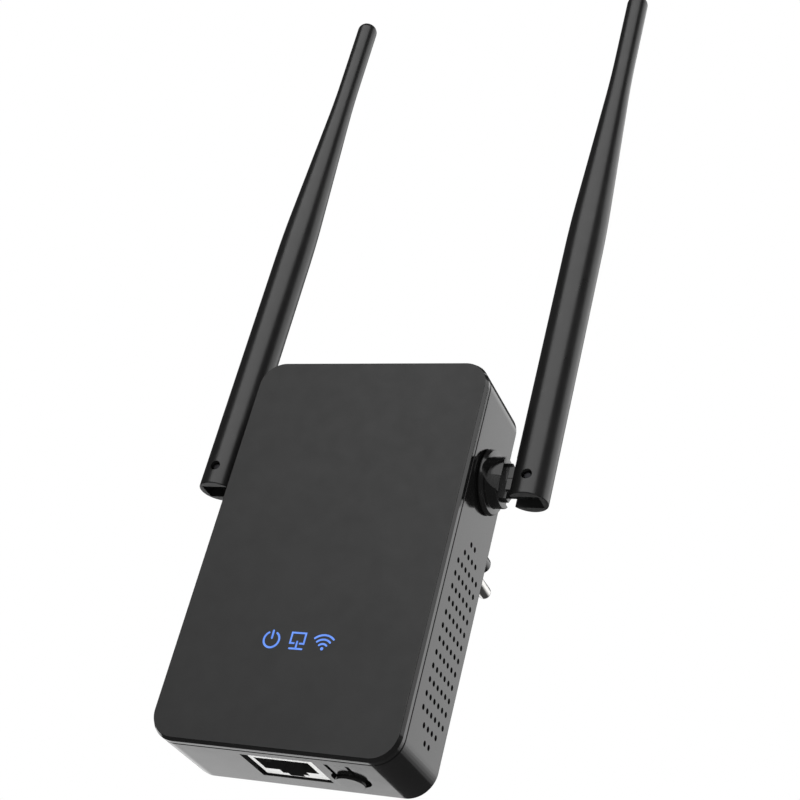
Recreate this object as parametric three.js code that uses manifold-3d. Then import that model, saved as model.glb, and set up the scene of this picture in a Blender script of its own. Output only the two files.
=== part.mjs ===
// Plug-in wifi range extender: a rounded box with a power hump and a two-pin mains plug behind it,
// and two antennas that swivel and fold on knuckles at its sides. Millimetres, +Z up.
// The device is drawn with X across from the middle, Y back from the front face and Z up from the
// underside, and the whole group is then moved so that the plug's rear face is the origin.
import * as THREE from "three";
import { mergeVertices } from "three/addons/utils/BufferGeometryUtils.js";
import Module from "manifold-3d";

const wasm = await Module();
wasm.setup();

// Driving dimensions
const WIDTH = 67;
const HEIGHT = 108.6;
const DEPTH = 25.6;
const CORNER = 7.2;
const WALL = 2;
const GAP = 0.3;
const COVER_DEPTH = 2.7;
const COVER_FACE = 1.8;
const SEAM = 0.4;
const FACE_BEVEL_DEPTH = 0.8;
const FACE_BEVEL_INSET = 0.4;
const REAR_CHAMFER = 1;

const HUMP = { halfWidth: 23, bottom: 14.5, top: 100, rear: 46, corner: 6, chamfer: 1.5 };

const PLUG = { height: 81.4, face: 64, halfWidth: 17.65, halfHeight: 6.85, shoulder: 13, point: 2.65 };
const PLUG_WALL = 2;
const PLUG_FLANGE = { halfWidth: 20, halfHeight: 9, thickness: 1.7 };
const PIN = { spacing: 19, radius: 2, core: 1.4, inner: 46, bare: 74, tip: 83, rounding: 1.2, hole: 2.3 };
const PIN_SLEEVE = { radius: 1.95, inner: 60, play: 0.15 };
const PLUG_CONTACT = { halfThickness: 0.4, halfWidth: 1.6, halfHeight: 1.5, sheet: 0.8, end: 45.7 };

const PIVOT = { x: 45.4, y: 14.8, z: 81.2 };
const ANTENNA = { radius: 5.25, tipRadius: 3.08, base: 75.8, taperStart: 162, taperEnd: 216, top: 249.3 };
const SLOT = { halfWidth: 2.8, outer: 3.6, top: 87.6 };
const TONGUE = { halfThickness: 2.5, endRadius: 3.2 };
const FLANGE = { radius: 8.6, inner: WIDTH / 2 + 0.4, outer: WIDTH / 2 + 1.7 };
const KNUCKLE = { radius: 6.7, end: 38.1, neckEnd: 39.6, neckHalfHeight: 5 };
const FACET = { x: 39.2, radius: 4.6, depth: 4.4 };
const SPIGOT = { radius: 5.4, inner: 28.5, bore: 1.7, boreEnd: 37, play: 0.5 };
const RING = { radius: 8, thickness: 1.8 };
const AERIAL_BORE = { radius: 2, tipRadius: 1.5, spare: 6 };
const RADIATOR = { feed: 1.5, feedTop: 150, whip: 0.7, top: 232 };
const LEAD_RADIUS = 0.65;
const HINGE_PIN_RADIUS = 1;
const HINGE_PIN_RECESS = 1;

const JACK = { left: -8.1, right: 9.4, front: 5.9, rear: 18.3, face: 0.3, top: 16.5 };
const JACK_CLEARANCE = { left: 1.4, right: 0.5, front: 0.5, rear: 1 };
const JACK_MOUTH = { left: -6.75, right: 7.95, front: 7.4, rear: 14.5, lead: 1.6 };
const JACK_MIDDLE = (JACK_MOUTH.left + JACK_MOUTH.right) / 2;
const JACK_BAY = { halfWidth: 5.95, depth: 14 };
const JACK_LATCH = { left: 3.45, right: 3.85, step: 2, depth: 10 };
const JACK_LATCH_DEEP = { left: 1.95, right: 2.15, step: 3.4 };
const JACK_WIRES = { count: 8, pitch: 1.02, halfWidth: 0.18, bottom: 3.2, top: 12, carrierBottom: 11.6 };

const BUTTON = { x: 16.3, y: 15.2, radius: 3.8, face: -1, chamfer: 0.3, chamferEnd: -0.4 };
const BUTTON_ARM = { left: 13.8, right: 18.3, root: 6.2, top: 1.2, slit: 1, postRadius: 1.1, postTop: 3 };
const BUTTON_CLEARANCE = 1.2;
const SWITCH = { halfWidth: 3, front: 10.6, bottom: 5.5, top: 9.3, bore: 1.25, boreBottom: 5, boreTop: 7.6 };
const PLUNGER = { radius: 0.95, bottom: 3.3, top: 6.8 };
const INDICATORS = [-6.75, 0.4, 7.55];
const INDICATOR_HEIGHT = 27.8;
const LENS = { half: 2.5, front: 0.05 };
const LIGHT_GUIDE = { thickness: 1.2, overhang: 3.4, halfHeight: 3.2, pipe: 1.5, pipeEnd: 1, end: 17.1 };

const MAIN_BOARD = { front: 18.6, rear: 20.2, halfWidth: 28.5, bottom: 3, top: 72 };
const POWER_BOARD = { front: 27.4, rear: 29, halfWidth: 20, bottom: 20, top: 96 };
const SHIELD = { halfWidth: 14, front: 15.8, bottom: 36, top: 60, sheet: 0.5 };
const PROCESSOR = { left: -6, right: 6, bottom: 42, top: 54, height: 1.2 };
const ETHERNET_TRANSFORMER = { left: -7, right: 8.5, bottom: 18.2, top: 25.2, height: 3 };
const LED = { halfWidth: 0.8, halfHeight: 0.6, height: 0.8 };
const BOARD_LINK = { halfWidth: 7, bottom: 23.8, top: 26.4 };
const CORE = { halfWidth: 9, rear: 9.5, front: 3.5, bottom: 38, top: 54, leg: 3, window: 3.6, frame: 3 };
const COIL = { halfWidth: 6.3, height: 12.6, bottom: 41.3, top: 50.7, bore: 3.3 };
const BULK_CAPACITOR = { x: 13.5, z: 60, radius: 4, height: 12.5 };
const OUTPUT_CAPACITOR = { x: -13, z: 30, radius: 4, height: 11 };
const CHOKE = { x: 13, z: 30, radius: 3.8, waist: 2.9, flange: 1.2, height: 9 };
const RECTIFIER = { left: 4, right: 12, height: 2.8, bottom: 68, top: 74.5 };
const FUSE = { left: -17, right: -4, z: 71, lift: 2.6, glass: 2, cap: 2.4, capLength: 3, lead: 0.4 };

const SCREW = { x: 27.5, low: 9, high: 99.6, shaft: 0.95, head: 2.6, tip: 8.5, seat: 20.8, top: 22.6 };
const CROSS = { half: 1.6, halfWidth: 0.35, depth: 0.6 };
const BOSS = { radius: 3, bore: 1.25, boreFront: 7.8, end: 17.8, buried: 0.5 };
const POST = { radius: 3.9, bore: 1.5, front: 18.1, recess: 3.1, recessFront: 20.5 };
const LIP = { depth: 5.2, wall: 1.2 };

const VENT = { rows: 16, columns: 6, halfWidth: 0.65, firstY: 7.9, pitchY: 2.69, topZ: 62.4, pitchZ: 3.49 };

const ROUND = 32;

// Materials
const finish = (color, roughness, metalness = 0) =>
  new THREE.MeshStandardMaterial({ color, roughness, metalness });
const MATT_BLACK = finish(0x2b2b2d, 0.55);
const GLOSS_BLACK = finish(0x141416, 0.15);
const SATIN_BLACK = finish(0x1c1c1e, 0.35);
const WHITE_NYLON = finish(0xf2f2ee, 0.4);
const BLUE_LENS = finish(0x4f7fe0, 0.3);
const CLEAR_ACRYLIC = finish(0xdfe8f0, 0.1);
const NICKEL = finish(0xcfcfd2, 0.2, 1);
const BRASS = finish(0xc9a24a, 0.3, 1);
const STEEL = finish(0x8f9296, 0.35, 1);
const GREEN_BOARD = finish(0x1f5a35, 0.45);
const CHIP_BLACK = finish(0x1a1a1b, 0.6);
const FERRITE = finish(0x3a3a3c, 0.7);
const YELLOW_TAPE = finish(0xd9b53a, 0.5);
const CAPACITOR_SLEEVE = finish(0x23252b, 0.35);
const COPPER = finish(0xb46a3c, 0.35, 1);

// Solids
function solidOf(geometry) {
  geometry.deleteAttribute("normal");
  geometry.deleteAttribute("uv");
  const merged = mergeVertices(geometry, 1e-4);
  const vertProperties = merged.attributes.position.array;
  const triVerts = new Uint32Array(merged.index.array);
  return new wasm.Manifold(new wasm.Mesh({ numProp: 3, vertProperties, triVerts }));
}

function geometryOf(solid) {
  const mesh = solid.getMesh();
  const geometry = new THREE.BufferGeometry();
  geometry.setAttribute("position", new THREE.BufferAttribute(mesh.vertProperties, 3));
  geometry.setIndex(new THREE.BufferAttribute(mesh.triVerts, 1));
  geometry.computeVertexNormals();
  return geometry;
}

const join = (...solids) => solids.reduce((whole, piece) => whole.add(piece));
const cut = (whole, ...tools) => tools.reduce((left, tool) => left.subtract(tool), whole);

function box(x0, x1, y0, y1, z0, z1) {
  const geometry = new THREE.BoxGeometry(x1 - x0, y1 - y0, z1 - z0);
  return solidOf(geometry.translate((x0 + x1) / 2, (y0 + y1) / 2, (z0 + z1) / 2));
}

// A round bar along one axis from a to b; the centre gives the other two coordinates.
function bar(axis, centre, radius, a, b, sides = ROUND, endRadius = radius) {
  const geometry = new THREE.CylinderGeometry(endRadius, radius, b - a, sides);
  geometry.translate(0, (a + b) / 2, 0);
  if (axis === "x") geometry.rotateZ(-Math.PI / 2).translate(0, centre[0], centre[1]);
  if (axis === "y") geometry.translate(centre[0], 0, centre[1]);
  if (axis === "z") geometry.rotateX(Math.PI / 2).translate(centre[0], centre[1], 0);
  return solidOf(geometry);
}

function roundedRectangle(halfWidth, bottom, top, radius) {
  const r = radius;
  const shape = new THREE.Shape();
  shape.absarc(halfWidth - r, bottom + r, r, -Math.PI / 2, 0);
  shape.absarc(halfWidth - r, top - r, r, 0, Math.PI / 2);
  shape.absarc(-halfWidth + r, top - r, r, Math.PI / 2, Math.PI);
  shape.absarc(-halfWidth + r, bottom + r, r, Math.PI, 1.5 * Math.PI);
  return shape;
}

// A shape in X and Z, extruded from y0 back to y1.
function plate(shape, y0, y1, curveSegments = 8) {
  const geometry = new THREE.ExtrudeGeometry(shape, { depth: y1 - y0, bevelEnabled: false, curveSegments });
  return solidOf(geometry.rotateX(Math.PI / 2).translate(0, y1, 0));
}

// The same with a bevel at the end y0 (front) or y1 (rear); the other end stays square.
function bevelledPlate(shape, y0, y1, bevelDepth, bevelInset, end) {
  const spare = bevelDepth + 1;
  const from = end === "front" ? y0 : y0 - spare;
  const to = end === "front" ? y1 + spare : y1;
  const geometry = new THREE.ExtrudeGeometry(shape, {
    depth: to - from - 2 * bevelDepth,
    bevelThickness: bevelDepth,
    bevelSize: bevelInset,
    bevelOffset: -bevelInset,
    bevelSegments: 1,
    curveSegments: 8,
  });
  geometry.rotateX(Math.PI / 2).translate(0, to - bevelDepth, 0);
  return solidOf(geometry).intersect(box(-100, 100, y0, y1, -100, 300));
}

function lathe(points, sides = ROUND) {
  return solidOf(new THREE.LatheGeometry(points.map(([r, h]) => new THREE.Vector2(r, h)), sides));
}

// The plug's outline: flat above and below, with a rounded point at each side.
function plugOutline(grow = 0) {
  const point = PLUG.point;
  const edge = THREE.MathUtils.degToRad(62);
  const shape = new THREE.Shape();
  shape.moveTo(PLUG.shoulder, -PLUG.halfHeight - grow);
  shape.absarc(PLUG.halfWidth - point, 0, point + grow, -edge, edge);
  shape.lineTo(PLUG.shoulder, PLUG.halfHeight + grow);
  shape.lineTo(-PLUG.shoulder, PLUG.halfHeight + grow);
  shape.absarc(-PLUG.halfWidth + point, 0, point + grow, Math.PI - edge, Math.PI + edge);
  shape.lineTo(-PLUG.shoulder, -PLUG.halfHeight - grow);
  return shape;
}

const device = new THREE.Group();
device.position.set(0, -PLUG.face, -PLUG.height);

function node(name, solid, material, group = device) {
  const mesh = new THREE.Mesh(geometryOf(solid), material);
  mesh.name = name;
  group.add(mesh);
}

// Casing
const caseOutline = (inset) => roundedRectangle(WIDTH / 2 - inset, inset, HEIGHT - inset, CORNER - inset);
const screwPlaces = [-SCREW.x, SCREW.x].flatMap((x) => [SCREW.low, SCREW.high].map((z) => [x, z]));

function frontCover() {
  const lipInset = WALL + GAP;
  const body = bevelledPlate(caseOutline(0), 0, COVER_DEPTH, FACE_BEVEL_DEPTH, FACE_BEVEL_INSET, "front");
  const lip = plate(caseOutline(lipInset), COVER_FACE, LIP.depth);
  const inside = plate(caseOutline(lipInset + LIP.wall), COVER_FACE, LIP.depth + 1);
  const bossFront = COVER_FACE - BOSS.buried;
  const bosses = screwPlaces.map((place) => bar("y", place, BOSS.radius, bossFront, BOSS.end, 20));
  const bores = screwPlaces.map((place) => bar("y", place, BOSS.bore, BOSS.boreFront, BOSS.end + 1, 12));
  const opening = LENS.half + GAP;
  const windows = INDICATORS.map((x) =>
    box(x - opening, x + opening, -1, COVER_FACE + 1, INDICATOR_HEIGHT - opening, INDICATOR_HEIGHT + opening),
  );
  return cut(join(cut(join(body, lip), inside), ...bosses), ...bores, ...windows);
}

// Round the vent field's corners off: the two end rows and the two next to them are shorter.
function ventColumns(row) {
  const fromEnd = Math.min(row, VENT.rows - 1 - row);
  const skipped = fromEnd === 0 ? 2 : fromEnd === 1 ? 1 : 0;
  return [skipped, VENT.columns - 1 - skipped];
}

function ventHoles() {
  const holes = [];
  for (let row = 0; row < VENT.rows; row += 1) {
    const z = VENT.topZ - row * VENT.pitchZ;
    const [first, last] = ventColumns(row);
    for (let column = first; column <= last; column += 1) {
      const y = VENT.firstY + column * VENT.pitchY;
      holes.push(bar("x", [y, z], VENT.halfWidth * Math.SQRT2, -WIDTH, WIDTH, 4));
    }
  }
  return holes;
}

function rearShell() {
  const front = COVER_DEPTH + SEAM;
  const rearInside = DEPTH - WALL;
  const humpOutline = (inset) =>
    roundedRectangle(HUMP.halfWidth - inset, HUMP.bottom + inset, HUMP.top - inset, HUMP.corner - inset);
  const walls = bevelledPlate(caseOutline(0), front, DEPTH, REAR_CHAMFER, REAR_CHAMFER, "rear");
  const hump = bevelledPlate(humpOutline(0), DEPTH - 1, HUMP.rear, HUMP.chamfer, HUMP.chamfer, "rear");
  const cavity = plate(caseOutline(WALL), front - 1, rearInside);
  const humpCavity = plate(humpOutline(WALL), rearInside - 1, HUMP.rear - WALL);
  const postRear = rearInside + BOSS.buried;
  const posts = screwPlaces.map((place) => bar("y", place, POST.radius, POST.front, postRear, 20));
  const bores = screwPlaces.map((place) => bar("y", place, POST.bore, POST.front - 1, DEPTH + 1, 12));
  const recesses = screwPlaces.map((place) => bar("y", place, POST.recess, POST.recessFront, DEPTH + 1, 20));
  const plugOpening = plate(plugOutline(GAP), HUMP.rear - WALL - 1, HUMP.rear + 1);
  const plugHole = plugOpening.translate([0, 0, PLUG.height]);
  const jackHole = box(
    JACK.left - JACK_CLEARANCE.left,
    JACK.right + JACK_CLEARANCE.right,
    JACK.front - JACK_CLEARANCE.front,
    JACK.rear + JACK_CLEARANCE.rear,
    -1,
    WALL + 1,
  );
  const buttonHole = bar("z", [BUTTON.x, BUTTON.y], BUTTON.radius + BUTTON_CLEARANCE, -1, WALL + 1);
  const armHole = box(
    BUTTON_ARM.left - BUTTON_ARM.slit,
    BUTTON_ARM.right + BUTTON_ARM.slit,
    BUTTON_ARM.root - GAP,
    BUTTON.y,
    -1,
    WALL + 1,
  );
  const swivelHoles = bar("x", [PIVOT.y, PIVOT.z], SPIGOT.radius + SPIGOT.play, -WIDTH, WIDTH);
  const openings = [plugHole, jackHole, buttonHole, armHole, swivelHoles];
  const shell = join(cut(join(walls, hump), cavity, humpCavity), ...posts);
  return cut(shell, ...bores, ...recesses, ...openings, ...ventHoles());
}

function lens(x) {
  const z = INDICATOR_HEIGHT;
  return box(x - LENS.half, x + LENS.half, LENS.front, COVER_FACE - GAP, z - LENS.half, z + LENS.half);
}

function lightGuide() {
  const z = INDICATOR_HEIGHT;
  const g = LIGHT_GUIDE;
  const back = COVER_FACE + GAP;
  const left = INDICATORS[0] - g.overhang;
  const right = INDICATORS[2] + g.overhang;
  const bridge = box(left, right, back, back + g.thickness, z - g.halfHeight, z + g.halfHeight);
  const pipes = INDICATORS.map((x) => bar("y", [x, z], g.pipe, back + 1, g.end, 12, g.pipeEnd));
  return join(bridge, ...pipes);
}

function caseScrew([x, z]) {
  const { half, halfWidth, depth } = CROSS;
  const bottom = SCREW.top - depth;
  const shaft = bar("y", [x, z], SCREW.shaft, SCREW.tip, SCREW.seat + 0.2, 10);
  const head = bar("y", [x, z], SCREW.head, SCREW.seat, SCREW.top, 16, SCREW.head - 0.5);
  const slot = box(x - half, x + half, bottom, SCREW.top + 1, z - halfWidth, z + halfWidth);
  const cross = box(x - halfWidth, x + halfWidth, bottom, SCREW.top + 1, z - half, z + half);
  return cut(join(shaft, head), slot, cross);
}

node("front_cover", frontCover(), MATT_BLACK);
node("rear_shell", rearShell(), GLOSS_BLACK);
["power_lens", "network_lens", "wireless_lens"].forEach((name, i) => {
  node(name, lens(INDICATORS[i]), BLUE_LENS);
});
node("light_guide", lightGuide(), CLEAR_ACRYLIC);
screwPlaces.forEach((place, i) => node(`case_screw_${i + 1}`, caseScrew(place), STEEL));

// Mains plug
function plugStem() {
  const inner = HUMP.rear - WALL - GAP;
  const flangeFront = inner - PLUG_FLANGE.thickness;
  const { halfWidth, halfHeight } = PLUG_FLANGE;
  const body = plate(plugOutline(), flangeFront, PLUG.face);
  const flange = box(-halfWidth, halfWidth, flangeFront, inner, -halfHeight, halfHeight);
  const side = PLUG.shoulder - 1;
  const height = PLUG.halfHeight - PLUG_WALL;
  const hollow = box(-side, side, flangeFront - 1, PLUG.face - PLUG_WALL, -height, height);
  const holes = [-1, 1].map((sign) =>
    bar("y", [(sign * PIN.spacing) / 2, 0], PIN.hole, PLUG.face - PLUG_WALL - 1, PLUG.face + 1, 20),
  );
  return cut(join(body, flange), hollow, ...holes).translate([0, 0, PLUG.height]);
}

function plugPin() {
  const r = PIN.rounding;
  const nose = [0, 30, 60, 90].map((degrees) => {
    const angle = THREE.MathUtils.degToRad(degrees);
    return [PIN.radius - r + r * Math.cos(angle), PIN.tip - r + r * Math.sin(angle)];
  });
  const step = PIN.bare + 0.2;
  const shank = [[0, PIN.inner], [PIN.core, PIN.inner], [PIN.core, step], [PIN.radius, step]];
  return lathe([...shank, ...nose, [0, PIN.tip]], 20);
}

function pinSleeve() {
  const { radius, inner, play } = PIN_SLEEVE;
  const bore = PIN.core + play;
  return lathe([[bore, inner], [radius, inner], [radius, PIN.bare], [bore, PIN.bare], [bore, inner]], 20);
}

function plugContact() {
  const { halfThickness, halfWidth, halfHeight, sheet, end } = PLUG_CONTACT;
  const back = POWER_BOARD.rear + GAP;
  const strip = box(-halfThickness, halfThickness, back, end, -halfHeight, halfHeight);
  const pad = box(-halfWidth, halfWidth, end - sheet, end, -halfHeight, halfHeight);
  const foot = box(-halfWidth, halfWidth, back, back + sheet, -halfHeight, halfHeight);
  return join(strip, pad, foot);
}

node("plug_stem", plugStem(), GLOSS_BLACK);
["left", "right"].forEach((name, i) => {
  const x = (i - 0.5) * PIN.spacing;
  const place = (solid) => solid.translate([x, 0, PLUG.height]);
  node(`${name}_plug_pin`, place(plugPin()), NICKEL);
  node(`${name}_pin_sleeve`, place(pinSleeve()), SATIN_BLACK);
  node(`${name}_plug_contact`, place(plugContact()), BRASS);
});

// Network socket
function networkJack() {
  const m = JACK_MOUTH;
  const latch = JACK_LATCH;
  const deep = JACK_LATCH_DEEP;
  const middle = JACK_MIDDLE;
  const below = JACK.face - 1;
  return cut(
    box(JACK.left, JACK.right, JACK.front, JACK.rear, JACK.face, JACK.top),
    box(m.left, m.right, m.front, m.rear, below, JACK.face + m.lead),
    box(middle - JACK_BAY.halfWidth, middle + JACK_BAY.halfWidth, m.front, m.rear, below, JACK_BAY.depth),
    box(middle - latch.left, middle + latch.right, m.rear - 1, m.rear + latch.step, below, latch.depth),
    box(middle - deep.left, middle + deep.right, m.rear, m.rear + deep.step, below, latch.depth),
  );
}

function jackContacts() {
  const { count, pitch, halfWidth, bottom, top, carrierBottom } = JACK_WIRES;
  const first = JACK_MIDDLE - (pitch * (count - 1)) / 2;
  const last = first + pitch * (count - 1);
  const y = JACK_MOUTH.front + GAP;
  const carrier = box(first - 1, last + 1, y, y + 1.6, carrierBottom, JACK_BAY.depth - 0.4);
  const fingers = Array.from({ length: count }, (_, i) => {
    const x = first + i * pitch;
    return box(x - halfWidth, x + halfWidth, y + 0.6, y + 1.1, bottom, top);
  });
  return join(carrier, ...fingers);
}

node("network_jack", networkJack(), WHITE_NYLON);
node("network_jack_contacts", jackContacts(), BRASS);

// WPS button, a disc on a bending arm, and the switch behind it
const buttonPlace = [BUTTON.x, BUTTON.y];

function wpsButton() {
  const { left, right, root, top, postRadius, postTop } = BUTTON_ARM;
  const { radius, face, chamfer, chamferEnd } = BUTTON;
  return join(
    bar("z", buttonPlace, radius - chamfer, face, chamferEnd, ROUND, radius),
    bar("z", buttonPlace, radius, chamferEnd, top),
    box(left, right, root, BUTTON.y, 0, top),
    bar("z", buttonPlace, postRadius, top - 0.2, postTop, 12),
  );
}

function switchBody() {
  const { halfWidth, front, bottom, top, bore, boreBottom, boreTop } = SWITCH;
  const rear = MAIN_BOARD.front - GAP;
  const body = box(BUTTON.x - halfWidth, BUTTON.x + halfWidth, front, rear, bottom, top);
  return cut(body, bar("z", buttonPlace, bore, boreBottom, boreTop, 12));
}

node("wps_button", wpsButton(), GLOSS_BLACK);
node("wps_switch", switchBody(), CHIP_BLACK);
const plunger = bar("z", buttonPlace, PLUNGER.radius, PLUNGER.bottom, PLUNGER.top, 12);
node("wps_switch_plunger", plunger, WHITE_NYLON);

// Main board and what it carries
const onMainBoard = ({ left, right, bottom, top, height }) =>
  box(left, right, MAIN_BOARD.front - GAP - height, MAIN_BOARD.front - GAP, bottom, top);

function mainBoard() {
  const b = MAIN_BOARD;
  const aroundBoss = POST.radius + 0.4;
  const notches = [-SCREW.x, SCREW.x].map((x) =>
    bar("y", [x, SCREW.low], aroundBoss, b.front - 1, b.rear + 1, 20),
  );
  return cut(box(-b.halfWidth, b.halfWidth, b.front, b.rear, b.bottom, b.top), ...notches);
}

function shieldCan() {
  const { halfWidth, front, bottom, top, sheet } = SHIELD;
  const inside = halfWidth - sheet;
  return cut(
    box(-halfWidth, halfWidth, front, MAIN_BOARD.front - GAP, bottom, top),
    box(-inside, inside, front + sheet, MAIN_BOARD.front, bottom + sheet, top - sheet),
  );
}

function led(x) {
  const { halfWidth, halfHeight, height } = LED;
  const bottom = INDICATOR_HEIGHT - halfHeight;
  const top = INDICATOR_HEIGHT + halfHeight;
  return onMainBoard({ left: x - halfWidth, right: x + halfWidth, bottom, top, height });
}

function boardLink() {
  const { halfWidth, bottom, top } = BOARD_LINK;
  return box(-halfWidth, halfWidth, MAIN_BOARD.rear + GAP, POWER_BOARD.front - GAP, bottom, top);
}

node("main_board", mainBoard(), GREEN_BOARD);
node("rf_shield", shieldCan(), NICKEL);
node("wifi_processor", onMainBoard(PROCESSOR), CHIP_BLACK);
node("ethernet_transformer", onMainBoard(ETHERNET_TRANSFORMER), CHIP_BLACK);
["power_led", "network_led", "wireless_led"].forEach((name, i) => {
  node(name, led(INDICATORS[i]), WHITE_NYLON);
});
node("board_link", boardLink(), CHIP_BLACK);

// Power board and what it carries
const behind = POWER_BOARD.rear + GAP;

function powerBoard() {
  const b = POWER_BOARD;
  return box(-b.halfWidth, b.halfWidth, b.front, b.rear, b.bottom, b.top);
}

function transformerCore() {
  const { halfWidth, front, rear, bottom, top, leg, window, frame } = CORE;
  const windows = [leg, -leg - window].map((x) =>
    box(x, x + window, behind, behind + rear + 1, bottom + frame, top - frame),
  );
  return cut(box(-halfWidth, halfWidth, behind + front, behind + rear, bottom, top), ...windows);
}

function transformerCoil() {
  const { halfWidth, height, bottom, top, bore } = COIL;
  return cut(
    box(-halfWidth, halfWidth, behind, behind + height, bottom, top),
    box(-bore, bore, behind + CORE.front - GAP, behind + CORE.rear + GAP, bottom - 1, top + 1),
  );
}

// A can with a chamfered rim and a slightly sunken top.
function capacitor({ x, z, radius, height }) {
  const top = behind + height;
  const rim = 0.5;
  const sunk = 0.3;
  const inside = radius - 1.2;
  return lathe([
    [0, behind],
    [radius, behind],
    [radius, top - rim],
    [radius - rim, top],
    [inside, top],
    [inside, top - sunk],
    [0, top - sunk],
  ], 20).translate([x, 0, z]);
}

function choke() {
  const { x, z, radius, waist, flange, height } = CHOKE;
  const top = behind + height;
  return lathe([
    [0, behind],
    [radius, behind],
    [radius, behind + flange],
    [waist, behind + flange],
    [waist, top - flange],
    [radius, top - flange],
    [radius, top],
    [0, top],
  ], 20).translate([x, 0, z]);
}

function fuse() {
  const { left, right, z, glass, cap, capLength, lead } = FUSE;
  const y = behind + FUSE.lift;
  const tube = bar("x", [y, z], glass, left + 0.5, right - 0.5, 16);
  const caps = [left, right - capLength].map((x) => bar("x", [y, z], cap, x, x + capLength, 16));
  const feet = [left + 1, right - 2].map((x) => box(x, x + 1, behind, y, z - lead, z + lead));
  return join(tube, ...caps, ...feet);
}

function rectifier() {
  const { left, right, height, bottom, top } = RECTIFIER;
  return box(left, right, behind, behind + height, bottom, top);
}

node("power_board", powerBoard(), GREEN_BOARD);
node("transformer_core", transformerCore(), FERRITE);
node("transformer_coil", transformerCoil(), YELLOW_TAPE);
node("left_bulk_capacitor", capacitor({ ...BULK_CAPACITOR, x: -BULK_CAPACITOR.x }), CAPACITOR_SLEEVE);
node("right_bulk_capacitor", capacitor(BULK_CAPACITOR), CAPACITOR_SLEEVE);
node("output_capacitor", capacitor(OUTPUT_CAPACITOR), CAPACITOR_SLEEVE);
node("filter_choke", choke(), FERRITE);
node("bridge_rectifier", rectifier(), CHIP_BLACK);
node("mains_fuse", fuse(), NICKEL);

// Antennas. A side is drawn on the right and turned half round the upright line through the
// middle of the case for the left, so the swivel's axis is shared.
function knuckle() {
  const { y, z } = PIVOT;
  const spigot = bar("x", [y, z], SPIGOT.radius, SPIGOT.inner, FLANGE.inner + 0.2);
  const flange = bar("x", [y, z], FLANGE.radius, FLANGE.inner, FLANGE.outer);
  const barrel = bar("x", [y, z], KNUCKLE.radius, FLANGE.outer - 0.2, KNUCKLE.end);
  const facets = [
    bar("y", [FACET.x, z], FACET.radius, 0, y - FACET.depth),
    bar("y", [FACET.x, z], FACET.radius, y + FACET.depth, 2 * y),
  ];
  const front = y - TONGUE.halfThickness;
  const rear = y + TONGUE.halfThickness;
  const h = KNUCKLE.neckHalfHeight;
  const r = TONGUE.endRadius;
  const neck = box(KNUCKLE.end - 1, KNUCKLE.neckEnd, front, rear, z - h, z + h);
  const tongue = join(
    box(KNUCKLE.neckEnd - 1, PIVOT.x, front, rear, z - r, z + r),
    bar("y", [PIVOT.x, z], r, front, rear, 24),
  );
  const pinBore = bar("y", [PIVOT.x, z], HINGE_PIN_RADIUS + GAP, 0, 2 * y, 16);
  const cableBore = bar("x", [y, z], SPIGOT.bore, SPIGOT.inner - 1, SPIGOT.boreEnd, 12);
  return cut(join(spigot, cut(join(flange, barrel), ...facets), neck, tongue), pinBore, cableBore);
}

function retainingRing() {
  const { y, z } = PIVOT;
  const outer = WIDTH / 2 - WALL - GAP;
  return cut(
    bar("x", [y, z], RING.radius, outer - RING.thickness, outer),
    bar("x", [y, z], SPIGOT.radius + GAP, outer - RING.thickness - 1, outer + 1),
  );
}

function antennaSleeve() {
  const a = ANTENNA;
  const { x, y, z } = PIVOT;
  const profile = [
    [0, a.base],
    [a.radius - 0.3, a.base],
    [a.radius, a.base + 0.3],
    [a.radius, a.taperStart],
    [a.radius - 0.25, a.taperStart + 8],
    [a.tipRadius + 0.25, a.taperEnd - 8],
    [a.tipRadius, a.taperEnd],
    [a.tipRadius, a.top - 1.6],
    [a.tipRadius - 0.5, a.top - 0.55],
    [a.tipRadius - 1.5, a.top],
    [0, a.top],
  ];
  const outside = solidOf(
    new THREE.LatheGeometry(profile.map(([r, h]) => new THREE.Vector2(r, h)), ROUND).rotateX(Math.PI / 2),
  ).translate([x, y, 0]);
  const s = SLOT.halfWidth;
  const slot = box(x - 10, x + SLOT.outer, y - s, y + s, a.base - 1, SLOT.top);
  const pinBore = bar("y", [x, z], HINGE_PIN_RADIUS + GAP, 0, 2 * y, 16);
  const { radius, tipRadius, spare } = AERIAL_BORE;
  const bore = bar("z", [x, y], radius, SLOT.top - 1, a.top - spare, 16, tipRadius);
  return cut(outside, slot, pinBore, bore);
}

function hingePin() {
  const reach = ANTENNA.radius - HINGE_PIN_RECESS;
  return bar("y", [PIVOT.x, PIVOT.z], HINGE_PIN_RADIUS, PIVOT.y - reach, PIVOT.y + reach, 16);
}

function radiator() {
  const { x, y } = PIVOT;
  const feed = bar("z", [x, y], RADIATOR.feed, SLOT.top + 1, RADIATOR.feedTop, 12);
  const whip = bar("z", [x, y], RADIATOR.whip, RADIATOR.feedTop - 1, RADIATOR.top, 8);
  return join(feed, whip);
}

// The aerial lead, from its solder point on the main board into the swivel's bore.
function aerialLead() {
  const { y, z } = PIVOT;
  const route = new THREE.CatmullRomCurve3([
    new THREE.Vector3(16, 15.4, 63),
    new THREE.Vector3(16.3, 13.6, 68),
    new THREE.Vector3(17.5, 13, 74),
    new THREE.Vector3(20, 14.2, 79.4),
    new THREE.Vector3(24, y, z),
    new THREE.Vector3(28.5, y, z),
    new THREE.Vector3(36, y, z),
  ]);
  const section = new THREE.Shape();
  section.absarc(0, 0, LEAD_RADIUS, 0, 2 * Math.PI);
  const options = { steps: 28, extrudePath: route, curveSegments: 4 };
  return solidOf(new THREE.ExtrudeGeometry(section, options));
}

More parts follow.
